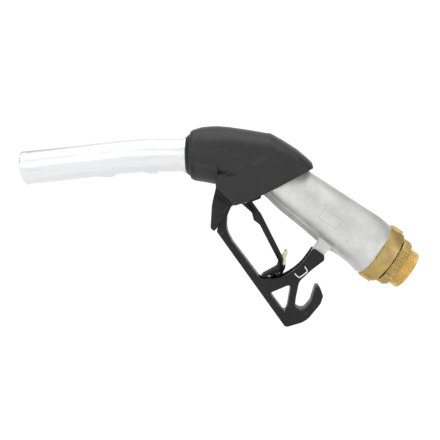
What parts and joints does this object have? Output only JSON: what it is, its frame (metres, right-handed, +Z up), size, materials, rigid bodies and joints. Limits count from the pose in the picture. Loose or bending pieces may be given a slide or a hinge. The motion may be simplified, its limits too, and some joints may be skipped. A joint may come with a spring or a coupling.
{
  "type": "fuel nozzle",
  "caption": "Automatic fuel nozzle with a long bent spout, rubber-hooded head, cast grip, lever with hold-open latch, hooked guard and brass hose swivel.",
  "frame": {"origin": "centre of the threaded end face that takes the hose, on the grip's axis", "axes": "+X back towards the hose, -X along the spout, +Z up with the spout's socket level, Y across the plane of symmetry"},
  "size_m": [0.4741, 0.07, 0.2371],
  "materials": {
    "spout_aluminium": "satin drawn aluminium, finely brushed along its length",
    "cast_aluminium": "as-cast and tumbled aluminium, slightly stained",
    "hood_rubber": "satin black moulded rubber",
    "black_nylon": "fine-textured black nylon",
    "brass": "turned brass, dulled by handling",
    "steel": "bright stainless steel",
    "zinc_yellow": "yellow-passivated zinc plate",
    "acetal": "natural acetal",
    "seal_rubber": "black nitrile"
  },
  "bodies": {
    "root": {"body": "cast_aluminium", "inlet_ring": "brass", "swivel_race": "steel", "strainer": "steel", "hood": "hood_rubber", "nose_ring": "black_nylon", "spout_collar": "spout_aluminium", "spout": "spout_aluminium", "spout_seal": "seal_rubber", "vent_tube": "acetal", "vent_tip": "acetal", "check_seat": "brass", "check_cage": "acetal", "check_spring": "steel", "valve_seat": "brass", "valve_cap": "brass", "stem_gland": "brass", "stem_seal": "seal_rubber", "main_spring": "steel", "shutoff_cap": "brass", "shutoff_diaphragm": "seal_rubber", "diaphragm_spring": "steel", "lever_guard": "black_nylon", "guard_fairing": "black_nylon", "guard_front_screw": "steel", "guard_rear_pin": "steel", "guard_rivet_front": "steel", "guard_rivet_rear": "steel", "ratchet_staple": "steel", "lever_pivot_pin": "steel"},
    "lever": {"lever": "black_nylon", "roller_axle": "steel", "latch_pin": "steel", "latch_spring": "steel"},
    "roller": {"lever_roller": "steel"},
    "latch": {"hold_latch": "zinc_yellow"},
    "valve": {"main_poppet": "brass", "poppet_seal": "seal_rubber"},
    "check_valve": {"check_poppet": "acetal"},
    "shutoff": {"shutoff_pin": "steel"},
    "swivel": {"swivel_nipple": "brass", "swivel_seal": "seal_rubber"}
  },
  "joints": [
    {"name": "lever_hinge", "type": "hinge", "parent": "root", "child": "lever", "pos_m": [-0.19, 0, 0.085], "axis": [0, -1, 0], "range_deg": [0, 22], "stiffness_Nm_per_rad": 1, "springref_deg": -11.46},
    {"name": "roller_spin", "type": "hinge", "parent": "lever", "child": "roller", "pos_m": [-0.176, 0, 0.089], "axis": [0, 1, 0], "continuous": true},
    {"name": "latch_hinge", "type": "hinge", "parent": "lever", "child": "latch", "pos_m": [-0.1525, 0, -0.0048], "axis": [0, -1, 0], "range_deg": [0, 14], "stiffness_Nm_per_rad": 0.05, "springref_deg": -11.46},
    {"name": "main_valve", "type": "slide", "parent": "root", "child": "valve", "axis": [-0.2747, 0, 0.9615], "range_m": [0, 0.00564], "deforming": ["main_spring"]},
    {"name": "check_valve", "type": "slide", "parent": "root", "child": "check_valve", "axis": [-1, 0, 0], "range_m": [0, 0.006], "stiffness_N_per_m": 80, "springref_m": -0.004, "deforming": ["check_spring"]},
    {"name": "shutoff_slide", "type": "slide", "parent": "root", "child": "shutoff", "axis": [0, 0, -1], "range_m": [0, 0.0025], "stiffness_N_per_m": 200, "springref_m": -0.001, "deforming": ["diaphragm_spring"]},
    {"name": "inlet_swivel", "type": "hinge", "parent": "root", "child": "swivel", "pos_m": [0, 0, 0], "axis": [0.8377, 0, -0.5461], "continuous": true}
  ],
  "couplings": [
    {"joint": "main_valve", "follows": "lever_hinge", "m_per_rad": 0.01456}
  ]
}
